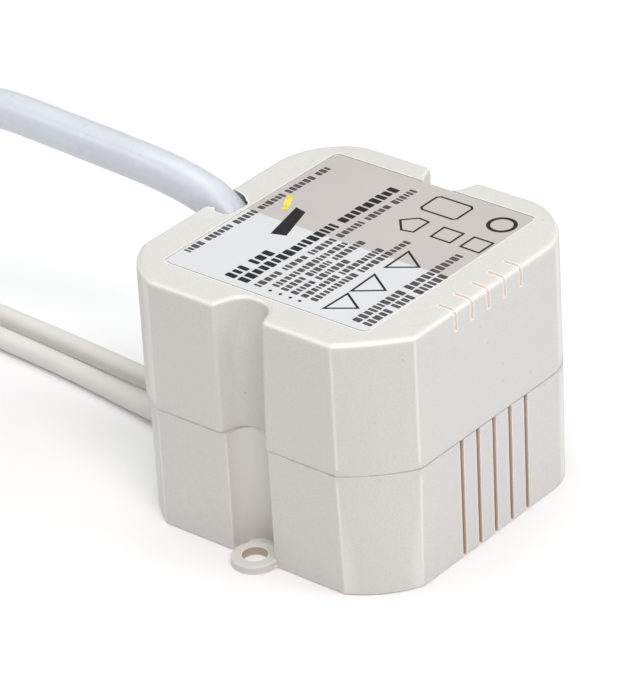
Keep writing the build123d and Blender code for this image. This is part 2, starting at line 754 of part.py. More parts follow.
start = Vector(MAINS_PTS[0])
LIVE_IN = [
    (-CORE_GAP, start.Y, start.Z),
    (-CORE_GAP - 0.6, 12.9, 26.6),
    (-6.9, 14.0, 20.5),
    (-6.9, 14.0, TOP_Z),
]
NEUTRAL_IN = [
    (CORE_GAP, start.Y, start.Z),
    (CORE_GAP + 0.6, 12.7, 26.6),
    (5.3, 12.0, 20.5),
    (5.3, 12.0, TOP_Z),
]
LIVE_WIRE = wire(LIVE_IN, [2.4, 3.0], CORE_R)
NEUTRAL_WIRE = wire(NEUTRAL_IN, [2.4, 3.0], CORE_R)
with BuildPart() as live_core_inner:
    add(LIVE_WIRE)
    split(bisect_by=Plane(origin=MAINS_PTS[0], z_dir=lead_dir), keep=Keep.BOTTOM)
live_core_inner.part.label = "live_core_inner"
export_step(live_core_inner.part, "parts/live_core_inner.step")

with BuildPart() as neutral_core_inner:
    add(NEUTRAL_WIRE)
    split(bisect_by=Plane(origin=MAINS_PTS[0], z_dir=lead_dir), keep=Keep.BOTTOM)
neutral_core_inner.part.label = "neutral_core_inner"
export_step(neutral_core_inner.part, "parts/neutral_core_inner.step")

# free end: the two cores come out of the sheath, each stripped at its tip
END = Vector(MAINS_PTS[-1])
END_DIR = (END - Vector(MAINS_PTS[-2])).normalized()
END_SIDE = Vector(END_DIR.Y, -END_DIR.X, 0)


def end_point(along, side, drop=0.0):
    p = END + END_DIR * along + END_SIDE * side
    return (p.X, p.Y, p.Z - drop)


LIVE_END = [end_point(0, -CORE_GAP), end_point(5, -CORE_GAP), end_point(15, -4.0, 1.2), end_point(24, -4.6, 1.9)]
NEUTRAL_END = [end_point(0, CORE_GAP), end_point(5, CORE_GAP), end_point(15, 4.0, 1.2), end_point(24, 4.6, 1.9)]
LIVE_END_WIRE = wire(LIVE_END, [8.0, 8.0], CORE_R)
NEUTRAL_END_WIRE = wire(NEUTRAL_END, [8.0, 8.0], CORE_R)
with BuildPart() as live_core_end:
    add(LIVE_END_WIRE)
live_core_end.part.label = "live_core_end"
export_step(live_core_end.part, "parts/live_core_end.step")

with BuildPart() as neutral_core_end:
    add(NEUTRAL_END_WIRE)
neutral_core_end.part.label = "neutral_core_end"
export_step(neutral_core_end.part, "parts/neutral_core_end.step")

with BuildPart() as mains_strands:
    for ends in (LIVE_END, NEUTRAL_END):
        tip = Vector(ends[-1])
        way = (tip - Vector(ends[-2])).normalized()
        with BuildSketch(Plane(origin=tip, z_dir=way)):
            Circle(0.55)
        extrude(amount=6.5)
mains_strands.part.label = "mains_strands"
export_step(mains_strands.part, "parts/mains_strands.step")

# ---------------------------------------------------------------- secondary leads
with BuildPart() as secondary_lead_a:
    with BuildLine() as sec_a_line:
        FilletPolyline(*SEC_A_PTS, radius=SEC_A_ARCS)
    with BuildSketch(Plane(origin=SEC_A_PTS[0], z_dir=(sec_a_line.line % 0))):
        Circle(SEC_R)
    sweep(path=sec_a_line.line)
secondary_lead_a.part.label = "secondary_lead_a"
export_step(secondary_lead_a.part, "parts/secondary_lead_a.step")

with BuildPart() as secondary_lead_b:
    with BuildLine() as sec_b_line:
        FilletPolyline(*SEC_B_PTS, radius=SEC_B_ARCS)
    with BuildSketch(Plane(origin=SEC_B_PTS[0], z_dir=(sec_b_line.line % 0))):
        Circle(SEC_R)
    sweep(path=sec_b_line.line)
secondary_lead_b.part.label = "secondary_lead_b"
export_step(secondary_lead_b.part, "parts/secondary_lead_b.step")

STRAND_R = 0.7
with BuildPart() as lead_strands_a:
    tip = Vector(SEC_A_PTS[-1])
    way = (tip - Vector(SEC_A_PTS[-2])).normalized()
    with BuildSketch(Plane(origin=tip, z_dir=way)):
        Circle(STRAND_R)
    extrude(amount=8.0)
lead_strands_a.part.label = "lead_strands_a"
export_step(lead_strands_a.part, "parts/lead_strands_a.step")

with BuildPart() as lead_strands_b:
    tip = Vector(SEC_B_PTS[-1])
    way = (tip - Vector(SEC_B_PTS[-2])).normalized()
    with BuildSketch(Plane(origin=tip, z_dir=way)):
        Circle(STRAND_R)
    extrude(amount=8.0)
lead_strands_b.part.label = "lead_strands_b"
export_step(lead_strands_b.part, "parts/lead_strands_b.step")

# inside, the bare ends rise to the underside of the board
TAIL_WIRES = [
    wire([p, (p[0], p[1] - 5.2, p[2]), (p[0], p[1] - 5.2, BOARD_Z)], [2.0], STRAND_R)
    for p in (SEC_A_PTS[0], SEC_B_PTS[0])
]
with BuildPart() as secondary_tails:
    for tail in TAIL_WIRES:
        add(tail)
secondary_tails.part.label = "secondary_tails"
export_step(secondary_tails.part, "parts/secondary_tails.step")

# ---------------------------------------------------------------- solder joints under the board
PINS = (
    [(-18.8, y + d) for y in TR_Y for d in (-3.75, 3.75)]
    + [(-7.3 + d, 18.7) for d in (-6.25, 6.25)]
    + [(CHOKE[0] + d, CHOKE[1]) for d in (-2.5, 2.5)]
    + [(-10.9 + d, 10.0) for d in (-2.54, 2.54)]
    + [(-14.4, y + d) for y in ROW_Y for d in (-2.8, 2.8)]
    + [(11.9, y + d) for y in ROW_Y for d in (-2.9, 2.9)]
    + [(TAB_X + 2.6, y + d) for y in TR_Y for d in (-2.54, 0, 2.54)]
    + [(-6.9, 14.0), (5.3, 12.0)]
)
with BuildPart() as solder_joints:
    with Locations(*[(x, y, BOARD_Z - 0.5) for x, y in PINS]):
        Cone(0.4, 0.85, 1.0)
solder_joints.part.label = "solder_joints"
export_step(solder_joints.part, "parts/solder_joints.step")

for name, pts, arcs in (
    ("mains lead", MAINS_PTS, MAINS_ARCS),
    ("secondary lead a", SEC_A_PTS, SEC_A_ARCS),
    ("secondary lead b", SEC_B_PTS, SEC_B_ARCS),
):
    print(name, "arc radii", [round(r, 1) for r in arcs], "length", round(run_length(pts, arcs), 1))
for part, line, r in (
    (mains_lead, mains_line, MAINS_R),
    (secondary_lead_a, sec_a_line, SEC_R),
    (secondary_lead_b, sec_b_line, SEC_R),
):
    along = sum(e.length for e in line.line.edges())
    print(part.part.label, "volume", round(part.part.volume, 1), "section x length", round(pi * r * r * along, 1))
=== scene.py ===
import math
import random

import bpy
import bmesh
from mathutils import Matrix, Vector


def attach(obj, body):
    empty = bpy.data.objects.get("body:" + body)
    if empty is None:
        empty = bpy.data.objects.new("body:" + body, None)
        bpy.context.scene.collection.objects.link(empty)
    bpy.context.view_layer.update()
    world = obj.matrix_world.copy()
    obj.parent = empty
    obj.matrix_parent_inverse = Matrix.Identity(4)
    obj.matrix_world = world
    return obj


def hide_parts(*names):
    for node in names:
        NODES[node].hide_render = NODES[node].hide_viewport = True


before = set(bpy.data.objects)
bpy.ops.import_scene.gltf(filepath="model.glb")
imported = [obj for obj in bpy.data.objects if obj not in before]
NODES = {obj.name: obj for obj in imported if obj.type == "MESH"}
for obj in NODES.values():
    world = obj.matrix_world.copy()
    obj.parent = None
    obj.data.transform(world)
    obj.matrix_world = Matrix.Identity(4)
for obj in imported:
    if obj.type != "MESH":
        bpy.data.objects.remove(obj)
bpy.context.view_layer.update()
MM = 0.001

# ------------------------------------------------------------------ camera
CAM_AT = Vector((-0.400443, -0.333152, 0.323007))
CAM_RIGHT = Vector((0.625237, -0.778969, -0.047804))
CAM_UP = Vector((0.413834, 0.278983, 0.866550))
CAM_FORWARD = CAM_RIGHT.cross(CAM_UP) * -1.0

cam_data = bpy.data.cameras.new("camera")
cam_data.sensor_width = 36.0
cam_data.sensor_fit = "AUTO"
cam_data.lens = 219.99
cam_data.clip_start = 0.01
cam_data.clip_end = 20.0
camera = bpy.data.objects.new("camera", cam_data)
bpy.context.scene.collection.objects.link(camera)
back = -CAM_FORWARD
camera.matrix_world = Matrix(
    (
        (CAM_RIGHT.x, CAM_UP.x, back.x, CAM_AT.x),
        (CAM_RIGHT.y, CAM_UP.y, back.y, CAM_AT.y),
        (CAM_RIGHT.z, CAM_UP.z, back.z, CAM_AT.z),
        (0, 0, 0, 1),
    )
)
bpy.context.scene.camera = camera


# ------------------------------------------------------------------ material helpers
class Mat:
    """A node material built a step at a time."""

    def __init__(self, name):
        self.mat = bpy.data.materials.new(name)
        self.mat.use_nodes = True
        self.tree = self.mat.node_tree
        self.tree.nodes.clear()
        self.out = self.tree.nodes.new("ShaderNodeOutputMaterial")
        self.bsdf = self.tree.nodes.new("ShaderNodeBsdfPrincipled")
        self.tree.links.new(self.bsdf.outputs[0], self.out.inputs[0])
        self.coord = self.tree.nodes.new("ShaderNodeTexCoord").outputs["Object"]

    def node(self, kind, **inputs):
        n = self.tree.nodes.new(kind)
        for key, value in inputs.items():
            self.put(n.inputs[key.replace("_", " ")], value)
        return n

    def put(self, socket, value):
        if isinstance(value, bpy.types.NodeSocket):
            self.tree.links.new(value, socket)
        else:
            socket.default_value = value

    def set(self, **inputs):
        for key, value in inputs.items():
            self.put(self.bsdf.inputs[key.replace("_", " ")], value)
        return self

    def noise(self, scale, detail=3.0, rough=0.55, stretch=None, vector=None, out="Fac"):
        v = vector or self.coord
        if stretch:
            m = self.tree.nodes.new("ShaderNodeMapping")
            self.put(m.inputs["Vector"], v)
            m.inputs["Scale"].default_value = stretch
            v = m.outputs[0]
        n = self.node("ShaderNodeTexNoise", Scale=scale, Detail=detail, Roughness=rough)
        self.put(n.inputs["Vector"], v)
        return n.outputs[out]

    def voronoi(self, scale, feature="F1", out="Distance", vector=None):
        n = self.tree.nodes.new("ShaderNodeTexVoronoi")
        n.feature = feature
        n.inputs["Scale"].default_value = scale
        self.put(n.inputs["Vector"], vector or self.coord)
        return n.outputs[out]

    def ramp(self, fac, *stops, ease="LINEAR"):
        n = self.tree.nodes.new("ShaderNodeValToRGB")
        self.put(n.inputs[0], fac)
        n.color_ramp.interpolation = ease
        els = n.color_ramp.elements
        while len(els) > 1:
            els.remove(els[-1])
        for i, (pos, col) in enumerate(stops):
            e = els[0] if i == 0 else els.new(pos)
            e.position = pos
            e.color = (*col, 1.0) if len(col) == 3 else col
        return n.outputs[0]

    def spread(self, fac, lo, hi, from_lo=0.3, from_hi=0.7):
        n = self.tree.nodes.new("ShaderNodeMapRange")
        self.put(n.inputs["Value"], fac)
        n.inputs["From Min"].default_value = from_lo
        n.inputs["From Max"].default_value = from_hi
        n.inputs["To Min"].default_value = lo
        n.inputs["To Max"].default_value = hi
        return n.outputs[0]

    def mix(self, fac, a, b, mode="MIX"):
        n = self.tree.nodes.new("ShaderNodeMix")
        n.data_type = "RGBA"
        n.blend_type = mode
        self.put(n.inputs[0], fac)
        for socket, value in ((n.inputs[6], a), (n.inputs[7], b)):
            if isinstance(value, tuple) and len(value) == 3:
                value = (*value, 1.0)
            self.put(socket, value)
        return n.outputs[2]

    def math(self, op, a, b=0.0, clamp=False):
        n = self.tree.nodes.new("ShaderNodeMath")
        n.operation = op
        n.use_clamp = clamp
        self.put(n.inputs[0], a)
        self.put(n.inputs[1], b)
        return n.outputs[0]

    def axis(self, which):
        n = self.tree.nodes.new("ShaderNodeSeparateXYZ")
        self.put(n.inputs[0], self.coord)
        return n.outputs[which]

    def bump(self, height, strength, distance, normal=None):
        n = self.tree.nodes.new("ShaderNodeBump")
        n.inputs["Strength"].default_value = strength
        n.inputs["Distance"].default_value = distance
        self.put(n.inputs["Height"], height)
        if normal is not None:
            self.put(n.inputs["Normal"], normal)
        return n.outputs[0]


def shade(c, k):
    return tuple(max(0.0, min(1.0, v * k)) for v in c)


def inside(m, value, lo, hi):
    """1 where the value lies between lo and hi."""
    return m.math("MULTIPLY", m.math("GREATER_THAN", value, lo), m.math("LESS_THAN", value, hi))


def slot_painted_shade_and_light(m, col):
    """Painted shade and painted bounce light in the thin slots and slits of the front face: slot walls run from a light
    warm mouth to a dark brown depth, and the slits get a lighter warm colour.
    """
    x, y, z = m.axis(0), m.axis(1), m.axis(2)
    off = m.math("SUBTRACT", x, 0.00042)
    turn = m.math("FRACT", m.math("ADD", m.math("DIVIDE", off, 0.0038), 0.5))
    near = m.math("MULTIPLY", m.math("ABSOLUTE", m.math("SUBTRACT", turn, 0.5)), 0.0038)
    band = m.math("MULTIPLY", m.math("LESS_THAN", near, 0.00045), m.math("LESS_THAN", m.math("ABSOLUTE", off), 0.0095))
    low = m.math("MULTIPLY", inside(m, y, -0.02486, -0.0240), m.math("LESS_THAN", z, 0.0194))
    high = m.math("MULTIPLY", inside(m, y, -0.02462, -0.0215), inside(m, z, 0.0371, 0.04034))
    # painted shade: the slot walls darken with depth into the face
    depth = m.spread(y, 0.0, 1.0, -0.0249, -0.0243)
    col = m.mix(m.math("MULTIPLY", band, low), col, m.mix(depth, SLOT_MOUTH_PAINTED_LIGHT, SLOT_PAINTED_SHADE))
    return m.mix(m.math("MULTIPLY", band, high), col, SLIT_PAINTED_LIGHT)


def groove_painted_light(m, col, light):
    """Painted light: the grooves of the base are made paler than the rest of the case, standing in for the light that
    reaches them.
    """
    x, y = m.math("ABSOLUTE", m.axis(0)), m.math("ABSOLUTE", m.axis(1))
    low = m.math("LESS_THAN", m.axis(2), 0.0194)
    deep = m.math("MULTIPLY", m.spread(x, 1.0, 0.0, 0.0225, 0.0246), m.math("LESS_THAN", y, 0.0065))
    return m.mix(m.math("MULTIPLY", deep, low), col, light)


def joint_painted_shadow(m, col, dark):
    """Thin painted shadow line, broken up by noise, along the gap where the cover meets the base."""
    line = inside(m, m.axis(2), 0.01933, 0.01950)
    return m.mix(m.math("MULTIPLY", line, m.spread(m.noise(240.0), 0.35, 0.8)), col, dark)


def hole_painted_shade(m, col, dark):
    """Painted shade on the walls of the two ear holes, a darker brown below 1.4 mm."""
    x, y = m.math("ABSOLUTE", m.axis(0)), m.axis(1)
    dx, dy = m.math("SUBTRACT", x, 0.0254), m.math("ADD", y, 0.00085)
    rr = m.math("ADD", m.math("MULTIPLY", dx, dx), m.math("MULTIPLY", dy, dy))
    return m.mix(m.math("MULTIPLY", m.math("LESS_THAN", rr, 0.00193**2), m.math("LESS_THAN", m.axis(2), 0.0014)), col, dark)


def edge_painted_highlight(m, col, light):
    """Painted highlight: edges, the rounded top edges and the upright corner edges are made lighter than the grained
    faces.
    """
    soft = m.node("ShaderNodeBevel", Radius=0.00045)
    soft.samples = 6
    face = m.tree.nodes.new("ShaderNodeNewGeometry")
    dot = m.tree.nodes.new("ShaderNodeVectorMath")
    dot.operation = "DOT_PRODUCT"
    m.put(dot.inputs[0], soft.outputs[0])
    m.put(dot.inputs[1], face.outputs["Normal"])
    n = m.tree.nodes.new("ShaderNodeSeparateXYZ")
    m.put(n.inputs[0], face.outputs["Normal"])
    nx, ny, nz = n.outputs[0], n.outputs[1], n.outputs[2]
    xx, yy, zz = m.math("MULTIPLY", nx, nx), m.math("MULTIPLY", ny, ny), m.math("MULTIPLY", nz, nz)
    turn = m.math("MULTIPLY", m.math("MULTIPLY", m.math("MULTIPLY", nx, ny), m.math("SUBTRACT", xx, yy)), 4.0)
    upright = m.spread(m.math("ABSOLUTE", turn), 0.0, 0.42, 0.72, 1.0)
    upright = m.math("MULTIPLY", upright, m.math("GREATER_THAN", m.math("ABSOLUTE", m.axis(1)), 0.0068))
    lean = m.math("MULTIPLY", m.math("MULTIPLY", nz, m.math("SQRT", m.math("SUBTRACT", 1.0, zz))), 2.0)
    over = m.spread(lean, 0.0, 0.45, 0.7, 1.0)
    over = m.math("MULTIPLY", over, m.math("GREATER_THAN", m.axis(2), 0.030))
    rounded = m.math("MAXIMUM", upright, over)
    clear = m.math("SUBTRACT", 1.0, m.math("MULTIPLY", inside(m, m.axis(2), 0.0184, 0.0204), 0.8))
    highlight_mask = m.math("MAXIMUM", m.spread(dot.outputs["Value"], 0.85, 0.0, 0.86, 0.992), rounded)
    return m.mix(m.math("MULTIPLY", highlight_mask, clear), col, light)


# Painted colours for slots and slits: lighter warm mouth and slit colours stand in for bounced light, the dark brown
# for shade deep in the slots.
SLOT_MOUTH_PAINTED_LIGHT = (0.84, 0.77, 0.69)
SLOT_PAINTED_SHADE = (0.40, 0.31, 0.245)
SLIT_PAINTED_LIGHT = (0.82, 0.745, 0.68)


def moulded(name, base, rough=(0.42, 0.55), grain=2600.0, depth=0.00002, mottle=0.035, specks=0.0, ior=1.48, coat=0.0, cuts=False):
    """Moulded plastic: spark-eroded grain, faint mottling and, on request, rare dark specks."""
    m = Mat(name)
    broad = m.noise(55.0, 4.0)
    fine = m.noise(900.0, 3.0)
    col = m.ramp(broad, (0.3, shade(base, 1 - mottle)), (0.7, shade(base, 1 + mottle * 0.6)))
    col = m.mix(m.spread(fine, 0.0, 0.5, 0.45, 0.75), col, shade(base, 1 - mottle * 1.5))
    if cuts:
        col = m.mix(m.spread(m.noise(4200.0, 2.0), 0.0, 0.85, 0.44, 0.62), col, shade(base, 0.925))
    if specks:
        split = m.node("ShaderNodeSeparateColor")
        m.put(split.inputs[0], m.voronoi(620.0, out="Color"))
        pick = m.math("GREATER_THAN", split.outputs[0], 0.86)
        dot = m.spread(m.voronoi(620.0), 1.0, 0.0, 0.06, 0.16)
        col = m.mix(m.math("MULTIPLY", m.math("MULTIPLY", pick, dot), specks), col, shade(base, 0.5))
    if cuts:
        # Painted light and shade on the case: paler base grooves, lit and shaded slots and slits, edge highlights, a
        # shadow line at the joint and shade in the ear holes.
        col = groove_painted_light(m, col, shade(base, 1.11))
        col = slot_painted_shade_and_light(m, col)
        col = edge_painted_highlight(m, col, shade(base, 1.42))
        col = joint_painted_shadow(m, col, shade(base, 0.62))
        col = hole_painted_shade(m, col, (0.47, 0.40, 0.33))
    m.set(Base_Color=col, IOR=ior, Coat_Weight=coat)
    if coat:
        m.set(Coat_Roughness=0.12)
    m.set(Roughness=m.spread(m.noise(120.0, 3.0), rough[0], rough[1]))
    grain_h = m.noise(grain, 2.0, 0.6)
    pits = m.voronoi(grain * 0.55)
    height = m.math("ADD", grain_h, m.math("MULTIPLY", pits, 0.6))
    m.set(Normal=m.bump(height, 0.35, depth))
    return m.mat


def metal(name, base, rough=(0.22, 0.38), stretch=(1.0, 1.0, 0.06), scale=1800.0):
    """Rolled or drawn metal with fine lines and slight staining."""
    m = Mat(name)
    lines = m.noise(scale, 4.0, stretch=stretch)
    stain = m.noise(90.0, 4.0)
    m.set(
        Base_Color=m.mix(m.spread(stain, 0.0, 0.6), base, shade(base, 0.75)),
        Metallic=1.0,
        Roughness=m.spread(lines, rough[0], rough[1]),
        Normal=m.bump(lines, 0.25, 0.00001),
    )
    return m.mat


CASE = (0.652, 0.642, 0.610)
mat_case = moulded("case_plastic", CASE, rough=(0.30, 0.40), mottle=0.022, specks=0.35, cuts=True)
mat_black = moulded("black_plastic", (0.022, 0.022, 0.024), rough=(0.35, 0.5), mottle=0.2)
mat_board = moulded("board_laminate", (0.33, 0.21, 0.09), rough=(0.35, 0.5), mottle=0.12)
mat_ferrite = moulded("ferrite", (0.035, 0.035, 0.04), rough=(0.4, 0.6), grain=1500.0, depth=0.00004, mottle=0.25)
mat_pad = moulded("pad_rubber", (0.33, 0.35, 0.37), rough=(0.6, 0.75), mottle=0.08)
mat_film = moulded("film_capacitor", (0.62, 0.37, 0.05), rough=(0.18, 0.3), mottle=0.08, grain=700.0)
mat_sleeve = moulded("capacitor_sleeve", (0.02, 0.035, 0.13), rough=(0.18, 0.3), mottle=0.15, grain=500.0)
mat_resistor = moulded("resistor_body", (0.5, 0.36, 0.2), rough=(0.3, 0.42), mottle=0.1)
mat_glass = moulded("glass_body", (0.1, 0.2, 0.42), rough=(0.06, 0.14), mottle=0.1, grain=300.0)
mat_brown = moulded("brown_core", (0.13, 0.045, 0.018), rough=(0.25, 0.36), mottle=0.12, grain=900.0)
mat_blue = moulded("blue_core", (0.02, 0.11, 0.36), rough=(0.25, 0.36), mottle=0.1, grain=900.0)
mat_alu = metal("aluminium_sheet", (0.76, 0.77, 0.78))
mat_steel = metal("plated_steel", (0.62, 0.62, 0.64), rough=(0.2, 0.34))
mat_copper = metal("copper", (0.86, 0.42, 0.24), rough=(0.2, 0.34), stretch=(0.06, 1.0, 1.0))
mat_solder = metal("solder", (0.66, 0.66, 0.68), rough=(0.12, 0.3), stretch=(1, 1, 1), scale=700.0)
mat_tape = moulded("polyester_tape", (0.72, 0.56, 0.05), rough=(0.15, 0.24), mottle=0.06, grain=400.0)


def winding_material():
    m = Mat("enamelled_wire")
    n = m.tree.nodes.new("ShaderNodeTexWave")
    n.wave_type = "BANDS"
    n.bands_direction = "Y"
    n.inputs["Scale"].default_value = 320.0
    n.inputs["Distortion"].default_value = 0.6
    m.put(n.inputs["Vector"], m.coord)
    turns = n.outputs["Fac"]
    base = m.ramp(turns, (0.0, (0.10, 0.022, 0.006)), (0.55, (0.42, 0.13, 0.035)), (1.0, (0.55, 0.2, 0.06)))
    m.set(
        Base_Color=m.mix(m.spread(m.noise(300.0), 0.0, 0.35), base, (0.3, 0.09, 0.02)),
        Roughness=m.spread(m.noise(200.0), 0.18, 0.32),
        Metallic=0.25,
        Coat_Weight=0.5,
        Coat_Roughness=0.1,
        Normal=m.bump(turns, 0.8, 0.0002),
    )
    return m.mat


mat_wire = winding_material()


def sheath_material():
    """Smooth flexible sheath with a slow waviness left by the extruder and a faint bloom."""
    m = Mat("mains_sheath")
    base = (0.545, 0.575, 0.62)
    cloud = m.noise(60.0, 4.0)
    col = m.ramp(cloud, (0.3, shade(base, 0.96)), (0.7, shade(base, 1.03)))
    col = m.mix(m.spread(m.noise(900.0, 3.0), 0.0, 0.4, 0.45, 0.75), col, shade(base, 1.1))
    m.set(
        Base_Color=col,
        Roughness=m.spread(m.noise(150.0), 0.26, 0.36),
        IOR=1.5,
        Subsurface_Weight=1.0,
        Subsurface_Radius=(0.008, 0.008, 0.008),
        Subsurface_Scale=1.0,
        Normal=m.bump(m.noise(240.0, 3.0, 0.5), 0.18, 0.00006),
    )
    return m.mat


def lead_material():
    m = Mat("lead_sheath")
    base = (0.735, 0.725, 0.69)
    cloud = m.noise(90.0, 4.0)
    col = m.ramp(cloud, (0.3, shade(base, 0.95)), (0.7, shade(base, 1.03)))
    m.set(
        Base_Color=col,
        Roughness=m.spread(m.noise(250.0), 0.34, 0.46),
        IOR=1.45,
        Normal=m.bump(m.noise(900.0, 3.0, 0.5), 0.2, 0.00003),
    )
    return m.mat


mat_sheath = sheath_material()
mat_lead = lead_material()


def label_material():
    """Film label with a painted reflection: a cool white field on the left and a warm grey one on the right stand in
    for a bright and a darker reflection.
    """
    m = Mat("label_film")
    # painted reflection: the label is split at x = 0 into a bright and a dim field
    side = m.math("GREATER_THAN", m.axis(0), 0.0)
    left = m.ramp(m.noise(70.0, 4.0), (0.3, (0.622, 0.637, 0.648)), (0.7, (0.648, 0.663, 0.674)))
    right = m.ramp(m.noise(70.0, 4.0), (0.3, (0.488, 0.462, 0.444)), (0.7, (0.515, 0.488, 0.468)))
    m.set(
        Base_Color=m.mix(side, left, right),
        Roughness=m.spread(m.noise(140.0), 0.28, 0.36),
        IOR=1.48,
        Normal=m.bump(m.noise(420.0, 3.0), 0.12, 0.00003),
    )
    return m.mat


mat_label = label_material()


def ink_material(name, base):
    m = Mat(name)
    m.set(
        Base_Color=m.ramp(m.noise(1600.0, 3.0), (0.35, shade(base, 0.85)), (0.7, shade(base, 1.5))),
        Roughness=m.spread(m.noise(300.0), 0.3, 0.42),
    )
    return m.mat


mat_ink = ink_material("ink_black", (0.012, 0.011, 0.012))
mat_ink_soft = ink_material("ink_soft", (0.07, 0.06, 0.06))
mat_ink_yellow = ink_material("ink_yellow", (0.62, 0.53, 0.11))


def give(names, material):
    for name in names:
        o = NODES[name]
        o.data.materials.clear()
        o.data.materials.append(material)


give(["cover_shell", "base_shell"], mat_case)
give(["rating_label"], mat_label)
give(["circuit_board"], mat_board)
give(["ferrite_core_front", "ferrite_core_rear", "drive_core", "choke_core"], mat_ferrite)
give(["coil_former", "transistors", "rectifier_diodes", "fuse", "cable_retainer"], mat_black)
give(["primary_winding", "secondary_winding", "drive_windings", "choke_winding"], mat_wire)
give(["insulation_tape"], mat_tape)
give(["heat_sink"], mat_alu)
give(["transistor_pads"], mat_pad)
give(["rivets", "thermal_cutout"], mat_steel)
give(["bridging_capacitors", "input_capacitor"], mat_film)
give(["start_capacitor"], mat_sleeve)
give(["resistors"], mat_resistor)
give(["trigger_diode"], mat_glass)
give(["live_core_inner", "live_core_end"], mat_brown)
give(["neutral_core_inner", "neutral_core_end"], mat_blue)
give(["mains_strands", "lead_strands_a", "lead_strands_b", "secondary_tails"], mat_copper)
give(["solder_joints"], mat_solder)


# ------------------------------------------------------------------ cords
def cord_curve(name, points_mm, diameter_mm, material):
    cu = bpy.data.curves.new(name, "CURVE")
    cu.dimensions = "3D"
    sp = cu.splines.new("NURBS")
    sp.points.add(len(points_mm) - 1)
    for p, c in zip(sp.points, points_mm):
        p.co = (c[0] * MM, c[1] * MM, c[2] * MM, 1.0)
    sp.order_u = 3
    sp.use_endpoint_u = True
    sp.resolution_u = 24
    cu.resolution_u = 24
    cu.bevel_depth = diameter_mm / 2 * MM
    cu.bevel_resolution = 10
    cu.use_fill_caps = True
    cu.materials.append(material)
    o = bpy.data.objects.new(name, cu)
    bpy.context.scene.collection.objects.link(o)
    return o


MAINS_PTS = [
    (0.45, 14.8, 29.6),
    (0.45, 22.2, 38.75),
    (0.3, 32.0, 41.7),
    (0.1, 48.0, 42.7),
    (0, 76.0, 44.0),
    (-2.5, 99.0, 27.0),
    (-7.0, 121.0, 3.08),
    (-12.0, 150.0, 3.08),
    (-11.0, 176.0, 3.08),
]
SEC_A_PTS = [
    (1.7, 12.0, 3.4),
    (1.7, 27.5, 3.4),
    (2.9, 41.0, 1.7),
    (4.1, 55.0, 1.7),
    (5.0, 70.0, 1.7),
    (5.9, 88.0, 1.7),
    (10.5, 110.0, 1.7),
    (18.0, 132.0, 1.7),
    (19.0, 156.0, 1.7),
]
SEC_B_PTS = [
    (-5.8, 12.0, 3.4),
    (-5.8, 26.5, 3.4),
    (-3.5, 38.6, 1.7),
    (-1.3, 54.0, 1.7),
    (-0.2, 70.0, 1.7),
    (0.7, 86.0, 1.7),
    (4.5, 106.0, 1.7),
    (11.0, 128.0, 1.7),
    (11.5, 152.0, 1.7),
]

mains = cord_curve("mains_cable", MAINS_PTS, 6.1, mat_sheath)
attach(mains, "root")
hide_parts("mains_lead")
lead_a = cord_curve("low_voltage_lead_a", SEC_A_PTS, 3.3, mat_lead)
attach(lead_a, "root")
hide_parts("secondary_lead_a")
lead_b = cord_curve("low_voltage_lead_b", SEC_B_PTS, 3.3, mat_lead)
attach(lead_b, "root")
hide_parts("secondary_lead_b")


def strand_bundle(name, ends, length, radius, material, node, count=7, turns=0.9):
    """Twisted fine wires round each axis (start point, unit direction), metres."""
    bm = bmesh.new()
    wire_r = radius * 0.34
    for start, way in ends:
        start, way = Vector(start), Vector(way).normalized()
        side = way.cross(Vector((0, 0, 1))).normalized()
        up = side.cross(way)
        for k in range(count):
            off = 0.0 if k == 0 else radius * 0.66
            ring_before = None
            steps = 22
            reach = length * (1.0 - 0.02 * (k % 3))
            for i in range(steps + 1):
                t = i / steps
                a = 2 * math.pi * ((k - 1) / (count - 1) + turns * t)
                c = start + way * (reach * t) + (side * math.cos(a) + up * math.sin(a)) * off
                ring = []
                for j in range(8):
                    b = 2 * math.pi * j / 8
                    ring.append(bm.verts.new(c + (side * math.cos(b) + up * math.sin(b)) * wire_r))
                if ring_before:
                    for j in range(8):
                        bm.faces.new((ring_before[j], ring_before[(j + 1) % 8], ring[(j + 1) % 8], ring[j]))
                else:
                    bm.faces.new(list(reversed(ring)))
                ring_before = ring
            bm.faces.new(ring_before)
    me = bpy.data.meshes.new(name)
    bmesh.ops.recalc_face_normals(bm, faces=bm.faces)
    bm.to_mesh(me)
    bm.free()
    for p in me.polygons:
        p.use_smooth = True
    me.materials.append(material)
    o = bpy.data.objects.new(name, me)
    bpy.context.scene.collection.objects.link(o)
    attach(o, "root")
    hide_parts(node)
    return o


def tip_of(points):
    a, b = Vector(points[-2]), Vector(points[-1])
    return b * MM, (b - a).normalized()


END = Vector(MAINS_PTS[-1])
END_DIR = (END - Vector(MAINS_PTS[-2])).normalized()
END_SIDE = Vector((END_DIR.y, -END_DIR.x, 0))


def end_point(along, side, drop=0.0):
    p = END + END_DIR * along + END_SIDE * side
    return (p.x, p.y, p.z - drop)


CORE_GAP = 1.35
LIVE_END = [end_point(0, -CORE_GAP), end_point(5, -CORE_GAP), end_point(15, -4.0, 1.2), end_point(24, -4.6, 1.9)]
NEUTRAL_END = [end_point(0, CORE_GAP), end_point(5, CORE_GAP), end_point(15, 4.0, 1.2), end_point(24, 4.6, 1.9)]
strands_mains = strand_bundle(
    "mains_strand_wires", [tip_of(LIVE_END), tip_of(NEUTRAL_END)], 6.4 * MM, 0.54 * MM, mat_copper, "mains_strands"
)
strands_a = strand_bundle("lead_strand_wires_a", [tip_of(SEC_A_PTS)], 7.9 * MM, 0.69 * MM, mat_copper, "lead_strands_a")
strands_b = strand_bundle("lead_strand_wires_b", [tip_of(SEC_B_PTS)], 7.9 * MM, 0.69 * MM, mat_copper, "lead_strands_b")

# ------------------------------------------------------------------ print on the label
PRINT_Z = 40.28 + 0.012
TILT = -0.028


